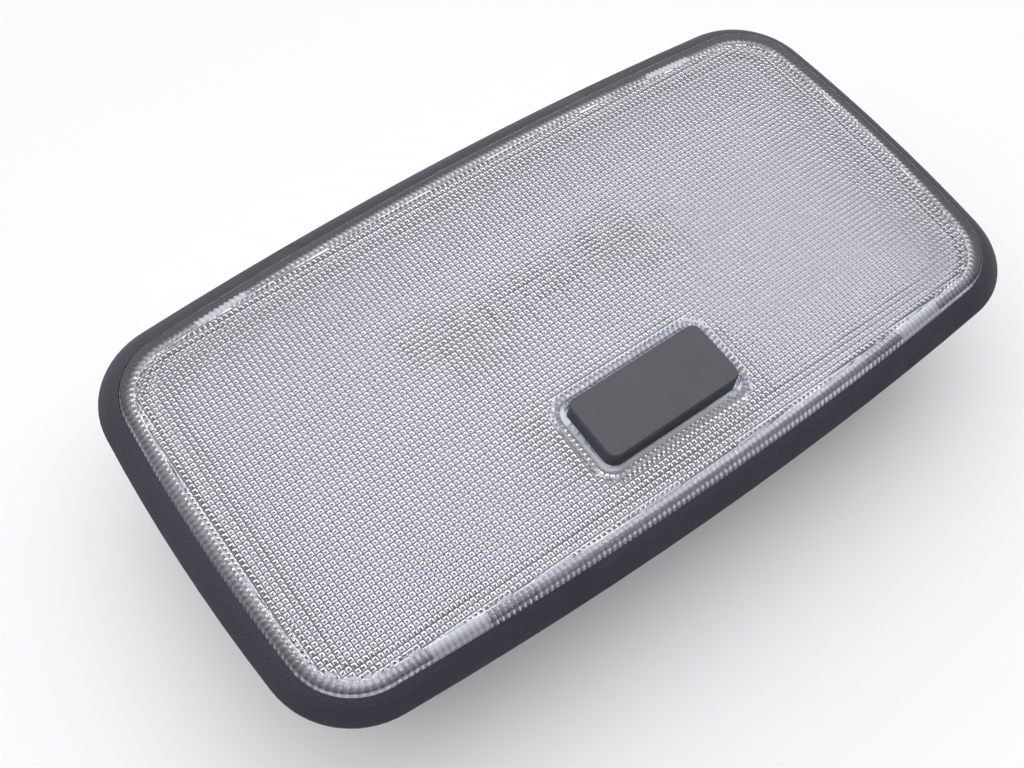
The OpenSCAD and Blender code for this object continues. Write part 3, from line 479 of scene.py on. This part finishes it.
# Lengths in mm from the frame's outer edge inwards, heights from the lamp's back
lensShape = {
    "inset": 3.75,              # outer face of the wall
    "bottom": 24.1,
    "wallRing": 1.2,            # a ring this far up the wall keeps its shading straight
    "shoulderRadius": 2.3,
    "shoulderHeight": 26.65,
    "shoulderStep": 9,          # degrees between its rings
    "crownRings": (0.4, 1.1, 2.4),      # how far in from the shoulder they lie
    "crownGrid": (66, 30, 4),   # half length, half width and spacing of the points on top
    "apex": 29.5,
    "crownAlong": 2500.0,       # radii of the crown
    "crownAcross": 757.0,
    "edgeBlend": 0.3,           # softens the line where the shoulder meets the crown
    "thickness": 2.0,
    "wallInner": 5.0,
    "fillet": 1.0,              # radius of the inner corner between wall and crown
    "filletTurns": (0, 22.5, 45, 67.5, 90),
    "fluteDepth": 0.35,
    "fluteFoot": 24.7,          # height at which the flutes start
    "fluteFade": ((0.4, 0.9), (0.7, 0.5), (1.0, 0.0)),     # share of the way, and of the depth
    "fieldEnds": 6.25,          # where the prisms start, at the short ends and the long sides
    "fieldSides": 6.45,
    "prismReach": (72, 35),     # half length and width of the grid that the field is cut from
    "prismPitch": 1.0,
    "prismFlank": 0.2,          # width of the border of a prism's hollow
    "prismRise": 0.16,          # depth at the inner edge of that border
    "prismTip": 0.24,           # how much deeper the middle is
    "prismShadeSpot": 3,             # the painted dark spot in the middle is the inner square divided by this
    "hookAt": 49.0,             # middle of a hook along the side, and half its width
    "hookHalf": 5.0,
    "hookOuter": 4.6,
    "hookInner": 5.65,
    "hookTip": 20.35,
    "hookLean": 0.1,            # how far its tip stands out from its stem
    "hookRoot": 0.05,           # how far below the flutes a hook's inner face ends
    "barbTop": 22.15,
    "barbOuter": 3.95,
    "barbLand": 0.5,            # height of the barb's straight edge
    "clipAt": 40.0,             # the same for the spring clip beside it
    "clipHalf": 4.0,
    "longSide": 0.9,            # a station on a long side has this much of its direction across
    "openingAt": (0.0, -20.3),
    "openingHalf": (14.42, 6.77),
    "openingRadius": 2.2,
    "openingInset": -1.5,       # where the distance between its points is measured
    "openingEdge": 0.25,        # radius of its soft upper edge
    "openingTurns": (90, 60, 30, 0),
    "collarWall": 0.75,
    "collarBottom": 24.8,
    "collarFlute": 0.5,
    # Out from the collar's wall, lift above the underside, and share of the flutes' depth
    "collarSteps": ((0, -0.45, 0), (0, -0.4, 0.4), (0.12, -0.12, 0.8),
                    (0.4, 0, 1), (0.9, 0, 0.9), (1.15, 0, 0)),
    # Painted light and shade on the ribs: level at the grooves, how much more at the crests, and
    # share of painted highlight
    "edgeRibs": (0.25, 0.2, 0.45),
    "hookRibs": (0.25, 0.12, 1.3),      # painted highlight: milky pale ribs where a hook stands behind the wall
    "clipRibs": (0.25, 0.3, 0.1),       # clear, so the spring clip beside the hook shows through, with painted dark lines on the crests
    "collarRibs": (0.2, 0.38, 0.15),
    "cornerAngle": 40,          # degrees from which an edge away from the underside is sharp
    "belowCrown": 1.0,          # points of the underside lie lower than this under the crown
    "belowField": 0.2,          # and no further than this below the smooth underside
}


def lensCrown(flat):
    x, y = np.moveaxis(np.asarray(flat), -1, 0)
    drop = x ** 2 / lensShape["crownAlong"] + y ** 2 / lensShape["crownAcross"]
    return lensShape["apex"] - drop / 2


def lensUnderside(flat):
    return lensCrown(flat) - lensShape["thickness"]


def softMin(a, b, blend):
    return (a + b - np.sqrt((a - b) ** 2 + blend ** 2)) / 2


def prismField(shape):
    # Points and lines of the prisms: grid corners, the inner square of each cell, its middle
    pitch, flank = shape["prismPitch"], shape["prismFlank"]
    nx, ny = (round(reach / pitch) for reach in shape["prismReach"])
    wide, tall = 2 * nx + 1, 2 * ny + 1
    points = [((i - nx) * pitch, (j - ny) * pitch) for j in range(tall) for i in range(wide)]
    lines = [(k, k + 1) for k in range(wide * tall) if k % wide + 1 < wide]
    lines += [(k, k + wide) for k in range(wide * (tall - 1))]
    near, far = flank, pitch - flank
    for j in range(tall - 1):
        for i in range(wide - 1):
            here, start = j * wide + i, len(points)
            around = (here, here + 1, here + wide + 1, here + wide)
            x, y = points[here]
            points += [(x + near, y + near), (x + far, y + near),
                       (x + far, y + far), (x + near, y + far), (x + pitch / 2, y + pitch / 2)]
            lines += [(start + k, start + (k + 1) % 4) for k in range(4)]
            lines += [(around[k], start + k) for k in range(4)]
    return points, lines


def cellPlace(x, y):
    # Distance from the middle of a prism's cell, measured square, and that of its inner square
    pitch = lensShape["prismPitch"]
    out = max(abs(x / pitch % 1 - 0.5), abs(y / pitch % 1 - 0.5)) * pitch
    return out, pitch / 2 - lensShape["prismFlank"]


def prismHeight(x, y):
    # Depth of a prism's hollow: a border that falls to its inner square, and a pyramid in that
    out, edge = cellPlace(x, y)
    if out > edge:
        share = (lensShape["prismPitch"] / 2 - out) / lensShape["prismFlank"]
        return lensShape["prismRise"] * share
    return lensShape["prismRise"] + lensShape["prismTip"] * (1 - out / edge)


def prismPaintedShade(x, y):
    # Painted shade: full on the blunt edges between the hollows and in their middles, none in
    # between
    out, edge = cellPlace(x, y)
    return max((out - edge) / lensShape["prismFlank"], 1 - out / edge * lensShape["prismShadeSpot"])


def makeLens():
    shape = lensShape
    rows = lampStations(outline)
    work = RingMesh()
    odd = np.arange(len(rows)) % 2
    # Crown and shoulder, from the ledge up
    centreInset = shape["inset"] + shape["shoulderRadius"]
    levels = [(shape["inset"], shape["bottom"]),
              (shape["inset"], shape["bottom"] + shape["wallRing"])]
    for turn in range(0, 91, shape["shoulderStep"]):
        t = math.radians(turn)
        levels.append((centreInset - shape["shoulderRadius"] * math.cos(t),
                       shape["shoulderHeight"] + shape["shoulderRadius"] * math.sin(t)))
    top = shape["shoulderHeight"] + shape["shoulderRadius"]
    levels += [(centreInset + extra, top + extra) for extra in shape["crownRings"]]
    outside = []
    for inset, height in levels:
        flat = movedIn(rows, inset)
        outside.append(work.ring(flat, softMin(height, lensCrown(flat), shape["edgeBlend"])))
    work.loft(*outside)
    # Foot of the wall with the four hooks: away from a hook these rings close up to nothing
    fromMiddle = np.abs(movedIn(rows, centreInset)[:, 0])
    onSide = np.abs(rows[:, 3]) > shape["longSide"]
    hooked = (np.abs(fromMiddle - shape["hookAt"]) < shape["hookHalf"]) & onSide
    clipped = (np.abs(fromMiddle - shape["clipAt"]) < shape["clipHalf"]) & onSide
    root = shape["fluteFoot"] - shape["hookRoot"]
    outerFeet = [
        (shape["hookOuter"], shape["bottom"]), (shape["hookOuter"], shape["barbTop"]),
        (shape["barbOuter"], shape["barbTop"]),
        (shape["barbOuter"], shape["barbTop"] - shape["barbLand"]),
        (shape["hookOuter"] - shape["hookLean"], shape["hookTip"]),
    ]
    innerFeet = [
        (shape["hookInner"], shape["hookTip"]), (shape["hookInner"], root),
        (shape["wallInner"], root),
    ]
    foot = [outside[0]]
    for feet, restInset in ((outerFeet, shape["hookOuter"]), (innerFeet, shape["wallInner"])):
        for inset, height in feet:
            foot.append(work.ring(movedIn(rows, np.where(hooked, inset, restInset)),
                                  np.where(hooked, height, shape["bottom"])))
    # Inner face of the wall, its fluted fillet and the fluted band up to the prisms
    field = shape["fieldEnds"] * rows[:, 2] ** 2 + shape["fieldSides"] * rows[:, 3] ** 2
    bandStart = shape["wallInner"] + shape["fillet"]
    depth = shape["fluteDepth"] * odd
    # Painted light and shade of each station: pale painted highlights in the grooves, painted
    # dark lines on the crests
    groove, crest, paintedHighlight = (
        np.where(hooked, atHook, np.where(clipped, atClip, atEdge))
        for atHook, atClip, atEdge in zip(shape["hookRibs"], shape["clipRibs"], shape["edgeRibs"])
    )
    ribs = groove + crest * (1 - odd)
    foot.append(work.ring(movedIn(rows, shape["wallInner"]), shape["fluteFoot"], ribs, paintedHighlight))
    for turn in shape["filletTurns"]:
        t = math.radians(turn)
        flat = movedIn(rows, bandStart - shape["fillet"] * math.cos(t) - depth * math.cos(t))
        lift = depth * math.sin(t) - shape["fillet"] * (1 - math.sin(t))
        foot.append(work.ring(flat, lensUnderside(flat) + lift, ribs, paintedHighlight))
    for share, lift in shape["fluteFade"]:
        flat = movedIn(rows, bandStart + (field - bandStart) * share)
        foot.append(work.ring(flat, lensUnderside(flat) + depth * lift, ribs * (lift > 0), paintedHighlight))
    work.loft(*foot)
    # Opening for the button: soft edge, wall, collar and the fluted band round it
    gate = roundedStations(shape["openingAt"], *shape["openingHalf"], shape["openingRadius"],
                           outline["station"], shape["openingInset"])
    gateOdd = np.arange(len(gate)) % 2
    gateDepth = shape["collarFlute"] * gateOdd
    # The collar's ribs: painted highlights in the grooves, painted dark lines on the crests
    gateGroove, gateCrest, gateHighlight = shape["collarRibs"]
    gateRibs = gateGroove + gateCrest * (1 - gateOdd)
    edge, wall = shape["openingEdge"], shape["collarWall"]
    gateRings = []
    for turn in shape["openingTurns"]:
        t = math.radians(turn)
        flat = movedIn(gate, -edge * (1 - math.cos(t)))
        gateRings.append(work.ring(flat, lensCrown(flat) - edge * (1 - math.sin(t))))
    gateRings.append(work.ring(movedIn(gate, 0), shape["collarBottom"]))
    gateRings.append(work.ring(movedIn(gate, -wall), shape["collarBottom"]))
    for out, lift, flute in shape["collarSteps"]:
        flat = movedIn(gate, -(wall + out))
        gateRings.append(work.ring(flat, lensUnderside(flat) + lift + gateDepth * flute,
                                   gateRibs * (flute > 0), gateHighlight))
    work.loft(*gateRings)
    # Top and underside
    halfLength, halfWidth, spacing = shape["crownGrid"]
    coarse = [(x, y) for x in np.arange(-halfLength, halfLength + 1, spacing)
              for y in np.arange(-halfWidth, halfWidth + 1, spacing)]
    work.fill(outside[-1], [gateRings[0]], coarse, [], lambda x, y: (lensCrown((x, y)), 0.0))
    points, lines = prismField(shape)
    # The prisms' points carry their painted shade: dark edges and dark middles
    work.fill(foot[-1], [gateRings[-1]], points, lines,
              lambda x, y: (lensUnderside((x, y)) + prismHeight(x, y), prismPaintedShade(x, y)))
    lens = work.build("lens_prismed", clearPolycarbonate)
    markPrismEdges(lens.data)
    return lens


def markPrismEdges(mesh):
    # On the underside all edges are sharp, so that each face of a prism or flute is flat
    mesh.set_sharp_from_angle(angle=math.radians(lensShape["cornerAngle"]))
    places = np.empty(len(mesh.vertices) * 3)
    mesh.vertices.foreach_get("co", places)
    places = places.reshape(-1, 3) / mm
    flat, height = places[:, :2], places[:, 2]
    inField = ((height < lensCrown(flat) - lensShape["belowCrown"])
               & (height > lensUnderside(flat) - lensShape["belowField"]))
    ends = np.empty(len(mesh.edges) * 2, dtype=int)
    mesh.edges.foreach_get("vertices", ends)
    sharp = np.empty(len(mesh.edges), dtype=bool)
    marks = mesh.attributes["sharp_edge"].data
    marks.foreach_get("value", sharp)
    marks.foreach_set("value", sharp | inField[ends.reshape(-1, 2)].all(axis=1))


print("lens")
lens = makeLens()
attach(lens, "lamp")
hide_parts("lens")

print("return spring")
returnSpring = {
    "centre": (-8.0, -20.3),
    "low": 13.95,
    "high": 19.65,
    "coilRadius": 2.125,
    "wire": 0.45,
    "turns": 5,
    "stepsPerTurn": 24,
    "sides": 10,
    "travel": 2.0,              # how far the slider pushes its top end down
}


def makeReturnSpring():
    shape = returnSpring
    work = RingMesh()
    wire = shape["wire"] / 2
    count = shape["turns"] * shape["stepsPerTurn"]
    around = np.arange(shape["sides"]) * 2 * math.pi / shape["sides"]
    out = shape["coilRadius"] + wire * np.cos(around)
    rings = []
    for k in range(count + 1):
        turn = 2 * math.pi * k / shape["stepsPerTurn"]
        middle = shape["low"] + wire + (shape["high"] - shape["low"] - 2 * wire) * k / count
        flat = np.stack([shape["centre"][0] + out * math.cos(turn),
                         shape["centre"][1] + out * math.sin(turn)], axis=1)
        rings.append(work.ring(flat, middle + wire * np.sin(around)))
    work.loft(*rings)
    work.faces += [tuple(rings[0]), tuple(rings[-1])]
    return work.build("return_spring_coil", musicWire)


springCoil = makeReturnSpring()
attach(springCoil, "lamp")
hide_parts("return_spring")
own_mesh(springCoil)

print("studio")
studio = {
    "floor": "#fbfbfc",
    "floorRoughness": 0.2,
    "floorHalf": 6.0,       # metres from its middle to an edge
    "floorSquares": 8,
    # Direction of a patch's middle, cosines to it where the patch starts and is full, and
    # the level of light before its start and where it is full
    "screen": ((0.1, 0.55, 0.83), -0.1, 1.0, 0.06, 1.1),
    "overhead": ((0.13, 0.32, 0.94), 0.4, 1.0, 0.0, 0.7),
    "horizon": ((0, 0, 1), 0.03, 0.1, 0.95, 0.0),
}


def skyPatch(tree, towards, middle, start, full, before, level):
    unit = tuple(np.array(middle) / np.linalg.norm(middle))
    cosine = addNode(tree, "ShaderNodeVectorMath", {0: towards, 1: unit}, operation="DOT_PRODUCT")
    return addNode(tree, "ShaderNodeMapRange", {
        "Value": cosine.outputs["Value"], "From Min": start, "From Max": full,
        "To Min": before, "To Max": level,
    }, interpolation_type="SMOOTHSTEP").outputs[0]


def makeStudio():
    work = bmesh.new()
    bmesh.ops.create_grid(work, x_segments=studio["floorSquares"],
                          y_segments=studio["floorSquares"], size=studio["floorHalf"])
    mesh = bpy.data.meshes.new("floor")
    work.to_mesh(mesh)
    work.free()
    floor = bpy.data.objects.new("floor", mesh)
    bpy.context.collection.objects.link(floor)
    # Matt white card: throws soft light back up and takes the lamp's shadow
    material, tree = newMaterial("matt_white_card")
    card = addNode(tree, "ShaderNodeBsdfDiffuse", {
        "Color": srgb(studio["floor"]), "Roughness": studio["floorRoughness"],
    })
    addNode(tree, "ShaderNodeOutputMaterial", {"Surface": card.outputs[0]})
    mesh.materials.append(material)

    # A large screen behind and above the lamp, a softer patch nearly overhead, a pale horizon
    world = bpy.data.worlds.new("studio")
    bpy.context.scene.world = world
    world.use_nodes = True
    tree = world.node_tree
    tree.nodes.clear()
    towards = addNode(tree, "ShaderNodeTexCoord").outputs["Generated"]
    screen = skyPatch(tree, towards, *studio["screen"])
    overhead = skyPatch(tree, towards, *studio["overhead"])
    horizon = skyPatch(tree, towards, *studio["horizon"])
    both = addNode(tree, "ShaderNodeMath", {0: screen, 1: overhead}).outputs[0]
    level = addNode(tree, "ShaderNodeMath", {0: both, 1: horizon}, operation="MAXIMUM").outputs[0]
    sky = addNode(tree, "ShaderNodeBackground", {"Color": (1, 1, 1, 1), "Strength": level})
    addNode(tree, "ShaderNodeOutputWorld", {"Surface": sky.outputs[0]})


makeStudio()

camera = {
    "at": (-0.08894, -0.07854, 0.21070),    # place in metres and turn in degrees
    "turn": (28.943, -4.197, -36.611),
    "lens": 44.7096,        # lens and sensor in mm
    "sensor": 36.0,
    "nearest": 0.01,        # where the view starts, in metres
}


def makeCamera():
    data = bpy.data.cameras.new("camera")
    data.sensor_width = camera["sensor"]
    data.lens = camera["lens"]
    data.clip_start = camera["nearest"]
    eye = bpy.data.objects.new("camera", data)
    eye.location = camera["at"]
    eye.rotation_euler = Euler([math.radians(v) for v in camera["turn"]], "XYZ")
    bpy.context.collection.objects.link(eye)
    bpy.context.scene.camera = eye


makeCamera()
bpy.context.scene.view_settings.view_transform = "Standard"
